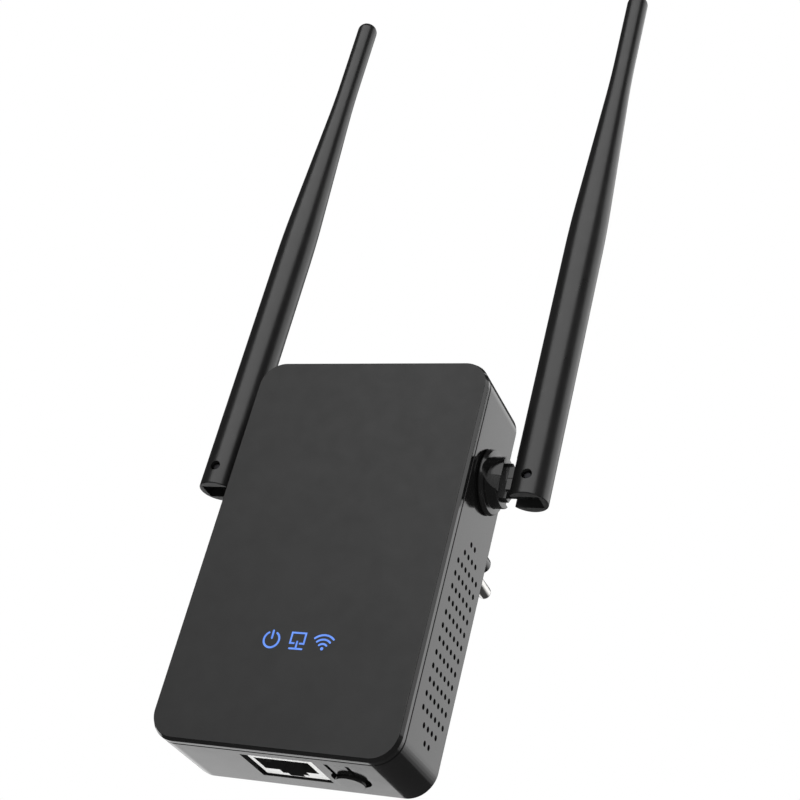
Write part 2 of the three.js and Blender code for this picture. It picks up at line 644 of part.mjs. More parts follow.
["right", "left"].forEach((name, i) => {
  const side = new THREE.Group();
  if (i === 1) {
    side.position.y = 2 * PIVOT.y;
    side.rotation.z = Math.PI;
  }
  device.add(side);
  node(`${name}_swivel_knuckle`, knuckle(), SATIN_BLACK, side);
  node(`${name}_swivel_ring`, retainingRing(), STEEL, side);
  node(`${name}_hinge_pin`, hingePin(), STEEL, side);
  node(`${name}_antenna_sleeve`, antennaSleeve(), SATIN_BLACK, side);
  node(`${name}_radiator`, radiator(), COPPER, side);
  node(`${name}_aerial_lead`, aerialLead(), CHIP_BLACK, side);
});

const extender = new THREE.Group();
extender.add(device);

export default extender;
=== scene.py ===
"""Looks of a plug-in wifi range extender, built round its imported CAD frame."""

import math

import bmesh
import bpy
from mathutils import Matrix, Vector


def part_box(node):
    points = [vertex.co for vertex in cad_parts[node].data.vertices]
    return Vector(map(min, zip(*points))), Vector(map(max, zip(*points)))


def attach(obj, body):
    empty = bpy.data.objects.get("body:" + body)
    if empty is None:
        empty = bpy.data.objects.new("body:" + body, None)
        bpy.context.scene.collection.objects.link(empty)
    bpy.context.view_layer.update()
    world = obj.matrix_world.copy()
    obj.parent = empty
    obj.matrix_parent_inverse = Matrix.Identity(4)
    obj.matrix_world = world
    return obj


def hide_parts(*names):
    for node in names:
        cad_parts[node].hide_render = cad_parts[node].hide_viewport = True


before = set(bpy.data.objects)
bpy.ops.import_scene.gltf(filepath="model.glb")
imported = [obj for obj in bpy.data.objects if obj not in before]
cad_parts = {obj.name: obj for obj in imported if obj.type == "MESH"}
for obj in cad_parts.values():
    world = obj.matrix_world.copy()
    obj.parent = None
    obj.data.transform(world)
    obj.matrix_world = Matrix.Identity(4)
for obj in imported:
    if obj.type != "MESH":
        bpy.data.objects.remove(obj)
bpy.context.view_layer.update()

# The device is drawn in millimetres with X across from its middle, Y back from the front face and Z up from
# the underside. ORIGIN is that drawing's zero in the frame.
MM = 0.001
cover_low, cover_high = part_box("front_cover")
shell_low, shell_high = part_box("rear_shell")
stem_low, stem_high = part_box("plug_stem")
ORIGIN = Vector(((cover_low.x + cover_high.x) / 2, cover_low.y, cover_low.z))


def drawn(point):
    """A frame point in the drawing's millimetres."""
    return (point - ORIGIN) / MM


# Driving dimensions, from the frame where it states them
WIDTH = (cover_high.x - cover_low.x) / MM
HEIGHT = (cover_high.z - cover_low.z) / MM
CORNER = 7.2
WALL = 2.0
GAP = 0.3
DEPTH = 25.6
COVER_DEPTH = 2.7
COVER_FACE = 1.8
BEVEL = {"inset": 0.55, "depth": 1.25}
LIP = {"inset": WALL + GAP, "thickness": 1.2, "depth": 5.2}
SHELL_FRONT = drawn(shell_low).y
HUMP_REAR = drawn(shell_high).y
HUMP = {"half_width": 23.0, "bottom": 14.5, "top": 100.0, "corner": 6.0}
PLUG = {
    "centre": (drawn(stem_low).z + drawn(stem_high).z) / 2,
    "face": drawn(stem_high).y,
    "half_width": 17.65,
    "half_height": 6.85,
    "shoulder": 13.0,
    "point": 2.65,
    "pin_x": 9.5,
    "pin_hole": 2.3,
    "flange": {"half_width": 20.0, "half_height": 9.0, "depth": 1.7},
    "hollow": {"half_width": 12.0, "half_height": 4.9},
}
PIN = {"radius": 2.0, "core": 1.4, "inner": 46.0, "bare": 74.0, "tip": 83.0}
SLEEVE = {"inner": 60.0, "bore": 1.55, "radius": 1.95}
PIVOT = Vector((45.4, 14.8, 81.2))
SPIGOT_HOLE = 5.9

# The screws, the cover's bosses that they bite into, and the shell's posts that they pass through
SCREWS = [(x, z) for x in (-27.5, 27.5) for z in (9.0, 99.6)]
SCREW = {"shaft": 0.95, "head": 2.6, "tip": 8.5, "seat": 20.8, "top": 22.6}
CROSS_RECESS = {"half_length": 1.45, "half_width": 0.3, "depth": 1.0}
BOSS = {"radius": 3.0, "rear": 17.8, "bore": 1.25, "bore_front": 7.8}
POST = {"radius": 3.9, "front": 18.1, "bore": 1.5, "recess": 3.1, "recess_front": 20.5}

SMOOTH_BELOW = math.radians(32)
SOFTEN_ABOVE = math.radians(35)


# Meshes. Everything is drawn in millimetres, and into_frame() then sets it into the frame.
def settle(bm, name, material):
    """The drawn mesh as an object, smooth but for its sharp edges."""
    bmesh.ops.remove_doubles(bm, verts=bm.verts, dist=1e-4)
    bmesh.ops.recalc_face_normals(bm, faces=bm.faces)
    mesh = bpy.data.meshes.new(name)
    bm.to_mesh(mesh)
    bm.free()
    obj = bpy.data.objects.new(name, mesh)
    bpy.context.scene.collection.objects.link(obj)
    mesh.materials.append(material)
    mesh.polygons.foreach_set("use_smooth", [True] * len(mesh.polygons))
    mesh.set_sharp_from_angle(angle=SMOOTH_BELOW)
    return obj


def paint(obj, material, chosen):
    """Gives a second material to the faces that the test picks."""
    obj.data.materials.append(material)
    for face in obj.data.polygons:
        if chosen(face):
            face.material_index = len(obj.data.materials) - 1


def into_frame(obj):
    obj.data.transform(Matrix.Translation(ORIGIN) @ Matrix.Scale(MM, 4))
    return obj


def arc(centre, radius, start, end, steps):
    """Points round part of a circle, from one angle to another in degrees."""
    angles = [math.radians(start + (end - start) * i / steps) for i in range(steps + 1)]
    return [(centre[0] + radius * math.cos(a), centre[1] + radius * math.sin(a)) for a in angles]


def rounded_rectangle(half_width, bottom, top, radius, steps=20):
    r = max(radius, 0.05)
    corners = (
        (half_width - r, bottom + r, -90),
        (half_width - r, top - r, 0),
        (-half_width + r, top - r, 90),
        (-half_width + r, bottom + r, 180),
    )
    return [p for x, z, start in corners for p in arc((x, z), r, start, start + 90, steps)]


def rounded_path(corners, steps=4):
    """A path through (u, v, radius) corners, each inner one rounded with its radius."""
    path = [tuple(corners[0][:2])]
    for before, corner, after in zip(corners, corners[1:], corners[2:]):
        middle = Vector(corner[:2])
        if corner[2] == 0:
            path.append(tuple(middle))
            continue
        a = (Vector(before[:2]) - middle).normalized()
        b = (Vector(after[:2]) - middle).normalized()
        half = a.angle(b) / 2
        centre = middle + (a + b).normalized() * (corner[2] / math.sin(half))
        first = middle + a * (corner[2] / math.tan(half)) - centre
        turn = first.angle_signed(middle + b * (corner[2] / math.tan(half)) - centre)
        for i in range(steps + 1):
            angle = math.atan2(first.y, first.x) - turn * i / steps
            path.append((centre.x + corner[2] * math.cos(angle), centre.y + corner[2] * math.sin(angle)))
    return path + [tuple(corners[-1][:2])]


def loft(rings):
    """A closed body through rings of points, with a flat cap on the first and the last."""
    bm = bmesh.new()
    rows = [[bm.verts.new(p) for p in ring] for ring in rings]
    for a, b in zip(rows, rows[1:]):
        for i in range(len(a)):
            j = (i + 1) % len(a)
            bm.faces.new((a[i], a[j], b[j], b[i]))
    bm.faces.new(rows[0])
    bm.faces.new(rows[-1])
    return bm


def plate(outline, profile):
    """A body whose outline(inset) in X and Z follows a profile of (inset, y) points from front to rear."""
    return loft([[(x, y, z) for x, z in outline(inset)] for inset, y in profile])


AXES = {
    "x": lambda c, h, u, v: (h, c[0] + u, c[1] + v),
    "y": lambda c, h, u, v: (c[0] + u, h, c[1] + v),
    "z": lambda c, h, u, v: (c[0] + u, c[1] + v, h),
}


def turned(axis, centre, profile, sides=64):
    """A body of revolution along an axis, through (radius, height) points."""
    circle = [2 * math.pi * i / sides for i in range(sides)]

    def ring(radius, height):
        r = max(radius, 1e-3)
        return [AXES[axis](centre, height, r * math.cos(a), r * math.sin(a)) for a in circle]

    return loft([ring(radius, height) for radius, height in profile])


def bar(axis, centre, radius, low, high, edge=0.0, sides=64):
    """A round bar, its rims rounded by edge."""
    if edge == 0:
        return turned(axis, centre, [(radius, low), (radius, high)], sides)
    rims = [(0, low, 0), (radius, low, edge), (radius, high, edge), (0, high, 0)]
    return turned(axis, centre, rounded_path(rims)[1:-1], sides)


def box(x0, x1, y0, y1, z0, z1, edge=0.0):
    """A block, its edges rounded by edge."""
    bm = bmesh.new()
    bmesh.ops.create_cube(bm, size=1)
    size = Matrix.Diagonal((x1 - x0, y1 - y0, z1 - z0, 1))
    centre = Matrix.Translation(((x0 + x1) / 2, (y0 + y1) / 2, (z0 + z1) / 2))
    bmesh.ops.transform(bm, matrix=centre @ size, verts=bm.verts)
    if edge:
        bmesh.ops.bevel(bm, geom=list(bm.edges), offset=edge, segments=2, profile=0.5, affect="EDGES")
    return bm


def merged(*parts):
    """One mesh of several bodies that don't touch."""
    whole = bmesh.new()
    for part in parts:
        spare = bpy.data.meshes.new("spare")
        part.to_mesh(spare)
        part.free()
        whole.from_mesh(spare)
        bpy.data.meshes.remove(spare)
    return whole


def shaped(bm, steps):
    """The drawn mesh after joins and cuts, as (operation, drawn mesh) steps."""
    def loose(drawing):
        bmesh.ops.recalc_face_normals(drawing, faces=drawing.faces)
        mesh = bpy.data.meshes.new("loose")
        drawing.to_mesh(mesh)
        drawing.free()
        obj = bpy.data.objects.new("loose", mesh)
        bpy.context.scene.collection.objects.link(obj)
        return obj

    body = loose(bm)
    for operation, tool in steps:
        other = loose(tool)
        modifier = body.modifiers.new("cut", "BOOLEAN")
        modifier.operation = operation
        modifier.solver = "EXACT"
        modifier.object = other
        bpy.context.view_layer.update()
        result = bpy.data.meshes.new_from_object(body.evaluated_get(bpy.context.evaluated_depsgraph_get()))
        body.modifiers.clear()
        body.data = result
        bpy.data.objects.remove(other)
    done = bmesh.new()
    done.from_mesh(body.data)
    bpy.data.objects.remove(body)
    return done


def soften(obj, width):
    """Rounds an object's sharp edges a little, as a mould does, and keeps its flats flat."""
    bevel = obj.modifiers.new("edges", "BEVEL")
    bevel.width = width * MM
    bevel.segments = 2
    bevel.limit_method = "ANGLE"
    bevel.angle_limit = SOFTEN_ABOVE
    bevel.harden_normals = True
    bevel.miter_outer = "MITER_ARC"
    return obj


def flatten_shading(obj):
    """Keeps large flats free of shading from the roundings beside them."""
    weighted = obj.modifiers.new("flats", "WEIGHTED_NORMAL")
    weighted.keep_sharp = True
    weighted.weight = 80
    return obj


def finish_piece(obj, body, node):
    """The piece moves with its body and stands for its CAD node."""
    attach(obj, body)
    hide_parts(node)


# Materials
def new_material(name, **sockets):
    """A principled material with its plain values, and its tree, shader and object coordinates."""
    material = bpy.data.materials.new(name)
    material.use_nodes = True
    tree = material.node_tree
    shader = tree.nodes["Principled BSDF"]
    for socket, value in sockets.items():
        shader.inputs[socket.replace("_", " ")].default_value = value
    place = tree.nodes.new("ShaderNodeTexCoord").outputs["Object"]
    return material, tree, shader, place


def noise(tree, place, scale, detail=3.0, roughness=0.5, stretch=(1, 1, 1)):
    mapping = tree.nodes.new("ShaderNodeMapping")
    mapping.inputs["Scale"].default_value = [scale * s for s in stretch]
    tree.links.new(place, mapping.inputs["Vector"])
    texture = tree.nodes.new("ShaderNodeTexNoise")
    texture.inputs["Scale"].default_value = 1.0
    texture.inputs["Detail"].default_value = detail
    texture.inputs["Roughness"].default_value = roughness
    tree.links.new(mapping.outputs["Vector"], texture.inputs["Vector"])
    return texture.outputs["Fac"]


def ramp(tree, value, low, high, start=0.3, end=0.7):
    """Spreads a noise value over two colours, or two grey levels."""
    ramp_node = tree.nodes.new("ShaderNodeValToRGB")
    for element, place, colour in zip(ramp_node.color_ramp.elements, (start, end), (low, high)):
        element.position = place
        element.color = (*colour, 1) if isinstance(colour, tuple) else (colour, colour, colour, 1)
    tree.links.new(value, ramp_node.inputs["Fac"])
    return ramp_node.outputs["Color"]


def bump(tree, shader, height, distance, strength):
    node = tree.nodes.new("ShaderNodeBump")
    node.inputs["Distance"].default_value = distance
    node.inputs["Strength"].default_value = strength
    tree.links.new(height, node.inputs["Height"])
    tree.links.new(node.outputs["Normal"], shader.inputs["Normal"])


def plastic(name, dark, light, smooth, rough, grain, grain_depth):
    """Moulded plastic: its colour and gloss wander a little, over a fine even grain."""
    material, tree, shader, place = new_material(name)
    cloud = noise(tree, place, 55, 4, 0.55)
    tree.links.new(ramp(tree, cloud, dark, light), shader.inputs["Base Color"])
    haze = noise(tree, place, 230, 5, 0.6)
    tree.links.new(ramp(tree, haze, smooth, rough), shader.inputs["Roughness"])
    bump(tree, shader, noise(tree, place, grain, 2, 0.6), 2e-5, grain_depth)
    return material


def metal(name, dark, light, smooth, rough, stretch=(1, 1, 1)):
    """Plated or drawn metal with fine lines along the direction that stretch leaves short."""
    material, tree, shader, place = new_material(name, Metallic=1.0)
    lines = noise(tree, place, 3500, 3, 0.6, stretch)
    tree.links.new(ramp(tree, lines, dark, light), shader.inputs["Base Color"])
    tree.links.new(ramp(tree, noise(tree, place, 600, 4, 0.6), smooth, rough), shader.inputs["Roughness"])
    bump(tree, shader, lines, 4e-6, 0.3)
    return material


def printed_board():
    """Green solder mask over faint tracks."""
    material, tree, shader, place = new_material("printed_board", Roughness=0.32, Coat_Weight=0.4)
    brick = tree.nodes.new("ShaderNodeTexBrick")
    brick.inputs["Scale"].default_value = 260
    brick.inputs["Mortar Size"].default_value = 0.018
    brick.inputs["Color1"].default_value = (0.012, 0.085, 0.03, 1)
    brick.inputs["Color2"].default_value = (0.016, 0.11, 0.04, 1)
    brick.inputs["Mortar"].default_value = (0.03, 0.2, 0.07, 1)
    turned_place = tree.nodes.new("ShaderNodeMapping")
    turned_place.inputs["Rotation"].default_value = (math.pi / 2, 0, 0)
    tree.links.new(place, turned_place.inputs["Vector"])
    tree.links.new(turned_place.outputs["Vector"], brick.inputs["Vector"])
    tree.links.new(brick.outputs["Color"], shader.inputs["Base Color"])
    bump(tree, shader, brick.outputs["Fac"], 3e-5, 0.5)
    return material


def lit_symbol():
    """Blue symbols lit from behind, a little uneven."""
    material, tree, shader, place = new_material("lit_symbol", Roughness=0.35, Emission_Strength=1.0)
    cloud = noise(tree, place, 420, 2)
    tree.links.new(ramp(tree, cloud, (0.075, 0.2, 0.66), (0.11, 0.26, 0.78)), shader.inputs["Emission Color"])
    tree.links.new(ramp(tree, cloud, (0.02, 0.05, 0.2), (0.03, 0.07, 0.26)), shader.inputs["Base Color"])
    return material


def clear_acrylic():
    material, tree, shader, place = new_material(
        "clear_acrylic", Base_Color=(0.9, 0.94, 0.97, 1), Transmission_Weight=0.85, IOR=1.49
    )
    tree.links.new(ramp(tree, noise(tree, place, 300, 3), 0.05, 0.16), shader.inputs["Roughness"])
    return material


FACE = plastic("matt_face_plastic", (0.0135,) * 3, (0.0165,) * 3, 0.5, 0.56, 9000, 0.5)
GLOSS = plastic("gloss_case_plastic", (0.006,) * 3, (0.008,) * 3, 0.1, 0.135, 700, 0.02)
SATIN = plastic("satin_antenna_plastic", (0.009,) * 3, (0.012,) * 3, 0.27, 0.33, 7000, 0.22)
KNUCKLE_PLASTIC = plastic("satin_knuckle_plastic", (0.006,) * 3, (0.008,) * 3, 0.17, 0.22, 7000, 0.12)
WHITE = plastic("white_nylon", (0.8, 0.8, 0.79), (0.86, 0.86, 0.85), 0.38, 0.46, 5000, 0.2)
CHIP = plastic("black_moulding", (0.012,) * 3, (0.02,) * 3, 0.5, 0.65, 6000, 0.6)
FERRITE = plastic("grey_ferrite", (0.035, 0.035, 0.038), (0.06, 0.06, 0.065), 0.6, 0.75, 4000, 0.9)
TAPE = plastic("yellow_tape", (0.55, 0.36, 0.04), (0.68, 0.46, 0.07), 0.3, 0.42, 1500, 0.3)
CAPACITOR = plastic("capacitor_sleeve", (0.014, 0.018, 0.03), (0.022, 0.026, 0.04), 0.28, 0.38, 2500, 0.2)
NICKEL = metal("nickel", (0.6, 0.59, 0.57), (0.72, 0.71, 0.69), 0.16, 0.26, (1, 0.06, 1))
STEEL = metal("zinc_steel", (0.38, 0.38, 0.39), (0.52, 0.52, 0.53), 0.26, 0.4)
# Dark steel for the hinge pins: painted shade that stands for the shadow in their recessed holes.
HOLE_SHADE_STEEL = metal("hole_shade_steel", (0.02, 0.02, 0.022), (0.035, 0.035, 0.038), 0.4, 0.55)
TIN = metal("tinned_steel", (0.55, 0.55, 0.55), (0.68, 0.68, 0.68), 0.22, 0.34, (1, 1, 0.08))
BRASS = metal("spring_brass", (0.62, 0.43, 0.16), (0.75, 0.54, 0.24), 0.2, 0.32, (1, 1, 0.1))
COPPER = metal("drawn_copper", (0.62, 0.27, 0.13), (0.74, 0.36, 0.2), 0.24, 0.36, (1, 1, 0.05))
BOARD = printed_board()
SYMBOL = lit_symbol()
ACRYLIC = clear_acrylic()


# Casing
def case_outline(inset):
    return rounded_rectangle(WIDTH / 2 - inset, inset, HEIGHT - inset, CORNER - inset, 24)


def hump_outline(inset):
    h = HUMP
    bottom, top = h["bottom"] + inset, h["top"] - inset
    return rounded_rectangle(h["half_width"] - inset, bottom, top, h["corner"] - inset, 16)


def front_cover():
    """A tray: flat matt face, narrow bevel, side strip, and a lip that reaches into the shell."""
    inner = LIP["inset"] + LIP["thickness"]
    profile = rounded_path([
        (3, 0, 0),
        (BEVEL["inset"], 0, 0.18),
        (0, BEVEL["depth"], 0.12),
        (0, COVER_DEPTH, 0.12),
        (LIP["inset"], COVER_DEPTH, 0.1),
        (LIP["inset"], LIP["depth"], 0.2),
        (inner, LIP["depth"], 0.2),
        (inner, COVER_FACE, 0.3),
        (inner + 2, COVER_FACE, 0),
    ])
    rear = BOSS["rear"]
    bosses = [bar("y", place, BOSS["radius"], COVER_FACE - 0.5, rear, 0.2, 40) for place in SCREWS]
    bores = [bar("y", place, BOSS["bore"], BOSS["bore_front"], rear + 1, 0, 24) for place in SCREWS]
    cover = shaped(plate(case_outline, profile), [("UNION", merged(*bosses)), ("DIFFERENCE", merged(*bores))])
    tray = settle(cover, "front_cover_moulding", FACE)
    facing_front = -0.98
    paint(tray, GLOSS, lambda face: face.normal.y > facing_front)
    return flatten_shading(into_frame(tray))


def vents():
    """The round vent holes of both side walls; the field's corners are rounded off."""
    rows, columns, radius = 16, 6, 0.73
    pitch_y, pitch_z = 2.69, 3.49
    first_y, top_z = 7.9, 62.4
    holes = []
    for row in range(rows):
        from_end = min(row, rows - 1 - row)
        skipped = max(0, 2 - from_end)
        for column in range(skipped, columns - skipped):
            place = (first_y + column * pitch_y, top_z - row * pitch_z)
            for side in (-1, 1):
                low, high = sorted((side * (WIDTH / 2 - WALL - 1), side * (WIDTH / 2 + 1)))
                holes.append(bar("x", place, radius, low, high, 0, 20))
    return merged(*holes)


def plug_outline(inset):
    """Flat above and below, with a rounded point at each side."""
    shoulder, half_height = PLUG["shoulder"], PLUG["half_height"] - inset
    middle, reach = PLUG["half_width"] - PLUG["point"], 62
    right = arc((middle, 0), PLUG["point"] - inset, -reach, reach, 14)
    left = arc((-middle, 0), PLUG["point"] - inset, 180 - reach, 180 + reach, 14)
    above = [(shoulder, half_height), (-shoulder, half_height)]
    below = [(-shoulder, -half_height), (shoulder, -half_height)]
    return [(x, z + PLUG["centre"]) for x, z in right + above + left + below]


def rear_shell():
    walls = plate(case_outline, rounded_path([
        (6, SHELL_FRONT, 0),
        (0, SHELL_FRONT, 0.15),
        (0, DEPTH, 1.0),
        (6, DEPTH, 0),
    ], 8))
    hump = plate(hump_outline, rounded_path([
        (0, DEPTH - 1, 0),
        (0, HUMP_REAR, 1.5),
        (5, HUMP_REAR, 0),
    ], 8))
    cavity = plate(case_outline, [(WALL, SHELL_FRONT - 1), (WALL, DEPTH - WALL)])
    hump_cavity = plate(hump_outline, [(WALL, DEPTH - WALL - 1), (WALL, HUMP_REAR - WALL)])
    shaded_inside, outside = DEPTH - WALL + 0.5, DEPTH + 1
    posts = [bar("y", place, POST["radius"], POST["front"], shaded_inside, 0, 40) for place in SCREWS]
    bores = [bar("y", place, POST["bore"], POST["front"] - 1.1, outside, 0, 24) for place in SCREWS]
    recesses = [bar("y", place, POST["recess"], POST["recess_front"], outside, 0, 40) for place in SCREWS]
    swivels = [
        bar("x", (PIVOT.y, PIVOT.z), SPIGOT_HOLE, low, high, 0, 64)
        for low, high in ((-35, -30), (30, 35))
    ]
    plug_hole = plate(plug_outline, [(-GAP, HUMP_REAR - WALL - 1), (-GAP, HUMP_REAR + 1)])
    steps = [
        ("UNION", hump),
        ("DIFFERENCE", cavity),
        ("DIFFERENCE", hump_cavity),
        ("UNION", merged(*posts)),
        ("DIFFERENCE", merged(*recesses)),
        ("DIFFERENCE", merged(*bores)),
        ("DIFFERENCE", merged(*swivels)),
        ("DIFFERENCE", plug_hole),
        ("DIFFERENCE", socket_cutout()),
        ("DIFFERENCE", button_cutout()),
        ("DIFFERENCE", vents()),
    ]
    return flatten_shading(into_frame(settle(shaped(walls, steps), "rear_shell_moulding", GLOSS)))


# Network socket and WPS button
JACK = {"left": -8.1, "right": 9.4, "front": 5.9, "rear": 18.3, "face": 0.3, "top": 16.5}
JACK_ROOM = {"left": 1.4, "right": 0.5, "front": 0.5, "rear": 1.0}
MOUTH = {"left": -6.75, "right": 7.95, "front": 7.4, "rear": 14.5, "lead": 1.6}
BAY = {"half_width": 5.95, "top": 14.0}
LATCH = {"left": 3.45, "right": 3.85, "step": 2.0, "top": 10.0}
DEEP_LATCH = {"left": 1.95, "right": 2.15, "step": 3.4, "top": 10.1}

BUTTON = {"x": 16.3, "y": 15.2, "radius": 3.8, "face": -1.0, "chamfer_end": -0.5, "room": 1.2}
ARM = {"left": 13.8, "right": 18.3, "root": 5.9, "top": 1.2, "slit": 1.0}
BUTTON_POST = {"radius": 1.1, "top": 3.0}


def socket_cutout():
    j, room = JACK, JACK_ROOM
    left, right = j["left"] - room["left"], j["right"] + room["right"]
    return box(left, right, j["front"] - room["front"], j["rear"] + room["rear"], -1, WALL + 1)


def button_cutout():
    """The round hole and the arm's slot."""
    b, arm = BUTTON, ARM
    hole = bar("z", (b["x"], b["y"]), b["radius"] + b["room"], -1, WALL + 1, 0, 96)
    left, right = arm["left"] - arm["slit"], arm["right"] + arm["slit"]
    return shaped(hole, [("UNION", box(left, right, arm["root"], b["y"], -1.2, WALL + 1.2))])


def network_jack():
    """A housing with a mouth, the plug's bay behind it and two steps for the plug's latch."""
    j, m = JACK, MOUTH
    middle = (m["left"] + m["right"]) / 2
    below = j["face"] - 1
    body = box(j["left"], j["right"], j["front"], j["rear"], j["face"], j["top"], 0.2)
    mouth = box(m["left"], m["right"], m["front"], m["rear"], below, j["face"] + m["lead"])
    bay_left, bay_right = middle - BAY["half_width"], middle + BAY["half_width"]
    bay = box(bay_left, bay_right, m["front"] + 0.01, m["rear"] - 0.01, below, BAY["top"])

    def latch_step(latch, overlap, start):
        left, right = middle - latch["left"], middle + latch["right"]
        return box(left, right, m["rear"] - overlap, m["rear"] + latch["step"], start, latch["top"])

    cuts = [mouth, bay, latch_step(LATCH, 1, below - 0.1), latch_step(DEEP_LATCH, 0.5, below - 0.2)]
    jack = settle(shaped(body, [("DIFFERENCE", cut) for cut in cuts]), "network_jack_housing", WHITE)
    latch_rear = m["rear"] + DEEP_LATCH["step"] + 0.1

    # The faces inside the mouth and bay get black moulding: partly a dark insert, partly painted shade in the
    # recess.
    def shaded_inside(face):
        across = m["left"] - 0.1 < face.center.x < m["right"] + 0.1
        return across and m["front"] - 0.1 < face.center.y < latch_rear and face.center.z > j["face"] + 0.5

    paint(jack, CHIP, shaded_inside)
    return soften(into_frame(jack), 0.12)


def wps_button():
    """A chamfered disc at the end of an arm, with the post that meets the switch."""
    b = BUTTON
    place, top = (b["x"], b["y"]), ARM["top"]
    disc = turned("z", place, rounded_path([
        (0, b["face"], 0),
        (b["radius"] - 0.1, b["face"], 0.18),
        (b["radius"], b["chamfer_end"], 0.1),
        (b["radius"], top, 0.1),
        (0, top, 0),
    ], 6)[1:-1], 96)
    arm = box(ARM["left"], ARM["right"], ARM["root"] + 0.02, b["y"], 0, top - 0.01)
    post = bar("z", place, BUTTON_POST["radius"], top - 0.2, BUTTON_POST["top"], 0.15, 32)
    body = shaped(disc, [("UNION", arm), ("UNION", post)])
    return flatten_shading(into_frame(settle(body, "wps_button_moulding", GLOSS)))


# Indicator symbols, raised a hair above the face
SYMBOL_HEIGHT = 0.05
SYMBOL_ROOT = 0.4


def flat_symbol(polygons):
    """Flat strokes in X and Z, as closed bodies that stand a hair proud of the face and reach into it."""
    def stroke(polygon):
        return loft([[(x, y, z) for x, z in polygon] for y in (-SYMBOL_HEIGHT, SYMBOL_ROOT)])

    return merged(*(stroke(polygon) for polygon in polygons))


def ring_stroke(centre, inner, outer, start, end, steps):
    """Part of a ring with round ends."""
    middle, half = (inner + outer) / 2, (outer - inner) / 2
    first, last = (arc(centre, middle, angle, angle, 1)[0] for angle in (start, end))
    return (
        arc(centre, outer, start, end, steps)
        + arc(last, half, end, end + 180, 8)[1:-1]
        + arc(centre, inner, end, start, steps)
        + arc(first, half, start + 180, start + 360, 8)[1:-1]
    )


def bar_stroke(x0, x1, z0, z1, radius):
    """A straight stroke with rounded corners."""
    low, high = z0 + radius, z1 - radius
    left, right = x0 + radius, x1 - radius
    centres = (((right, low), -90), ((right, high), 0), ((left, high), 90), ((left, low), 180))
    return [p for centre, start in centres for p in arc(centre, radius, start, start + 90, 6)]


def power_symbol():
    x, z, radius, stroke = -6.65, 27.6, 2.35, 0.52
    gap = 32
    ring = ring_stroke((x, z), radius - stroke, radius, 90 + gap, 450 - gap, 40)
    return [ring, bar_stroke(x - stroke / 2, x + stroke / 2, z + 0.15, z + radius + 0.25, 0.24)]


def network_symbol():
    """A screen outline, open below where its stem comes down, on a base bar."""
    x, half, top, low, stroke, opening, base = 0.5, 2.1, 30.05, 26.85, 0.46, 0.62, 25.45
    inner, floor, ceiling = half - stroke, low + stroke, top - stroke
    right_side = [(opening, floor), (opening, low), (half, low), (half, top)]
    left_side = [(-half, top), (-half, low), (-opening, low), (-opening, floor)]
    within = [(-inner, floor), (-inner, ceiling), (inner, ceiling), (inner, floor)]
    screen = [(x + u, z) for u, z in right_side + left_side + within]
    stem = bar_stroke(x - stroke / 2, x + stroke / 2, base + stroke / 2, low + 0.9, 0.1)
    return [screen, stem, bar_stroke(x - half + 0.2, x + half - 0.2, base, base + stroke, 0.12)]


def wireless_symbol():
    x, z, stroke = 7.55, 25.95, 0.5
    arcs = [ring_stroke((x, z), r - stroke, r, 48, 132, 20) for r in (1.75, 2.9, 4.05)]
    return arcs + [arc((x, z + 0.25), 0.42, 0, 345, 23)]


# Mains plug
def plug_stem():
    """The stem behind the hump, hollow inside, with a flange that the hump's wall holds."""
    face, centre = PLUG["face"], PLUG["centre"]
    rear = HUMP_REAR - WALL - GAP
    front = rear - PLUG["flange"]["depth"]
    profile = [(0, front), (0, face - 0.5), (0.15, face - 0.15), (0.5, face)]

    def block(part, y0, y1):
        across, up = PLUG[part]["half_width"], PLUG[part]["half_height"]
        return box(-across, across, y0, y1, centre - up, centre + up)

    flange, hollow = block("flange", front, rear), block("hollow", rear - 3, face - WALL)
    hole, pin_x = PLUG["pin_hole"], PLUG["pin_x"]
    holes = [bar("y", (x, centre), hole, 50, face + 1, 0, 40) for x in (-pin_x, pin_x)]
    steps = [("UNION", flange), ("DIFFERENCE", hollow), ("DIFFERENCE", merged(*holes))]
    stem = shaped(plate(plug_outline, profile), steps)
    return flatten_shading(into_frame(settle(stem, "plug_stem_moulding", GLOSS)))


def plug_pin(name, x):
    """A plated pin with a slimmer core, where the sleeve sits, and a rounded tip."""
    p = PIN
    step = p["bare"] + 0.2
    profile = rounded_path([
        (0, p["inner"], 0),
        (p["core"], p["inner"], 0.2),
        (p["core"], step, 0),
        (p["radius"], step, 0.1),
        (p["radius"], p["tip"], 1.3),
        (0, p["tip"], 0),
    ], 8)
    return into_frame(settle(turned("y", (x, PLUG["centre"]), profile, 48), f"{name}_pin_plated", NICKEL))


def pin_sleeve(name, x):
    place, inner, bare = (x, PLUG["centre"]), SLEEVE["inner"], PIN["bare"]
    tube = bar("y", place, SLEEVE["radius"], inner, bare, 0.12, 48)
    bore = bar("y", place, SLEEVE["bore"], inner - 1, bare + 1, 0, 48)
    sleeve = shaped(tube, [("DIFFERENCE", bore)])
    return into_frame(settle(sleeve, f"{name}_sleeve_moulding", KNUCKLE_PLASTIC))


# Antennas. A side is drawn on the right; the left one is it turned half round the middle's upright line.
ANTENNA = {"radius": 5.25, "tip": 3.08, "base": 75.8, "start": 162.0, "end": 216.5, "top": 249.3}
SLOT = {"half_width": 2.8, "reach": 3.6, "top": 87.6}
HINGE_PIN = {"radius": 1.0, "hole": 1.42, "knuckle_hole": 1.3}


def on_side(obj, side):
    if side == "left":
        middle = Vector((0, PIVOT.y, 0))
        half_turn = Matrix.Rotation(math.pi, 4, "Z")
        obj.data.transform(Matrix.Translation(middle) @ half_turn @ Matrix.Translation(-middle))
    return into_frame(obj)


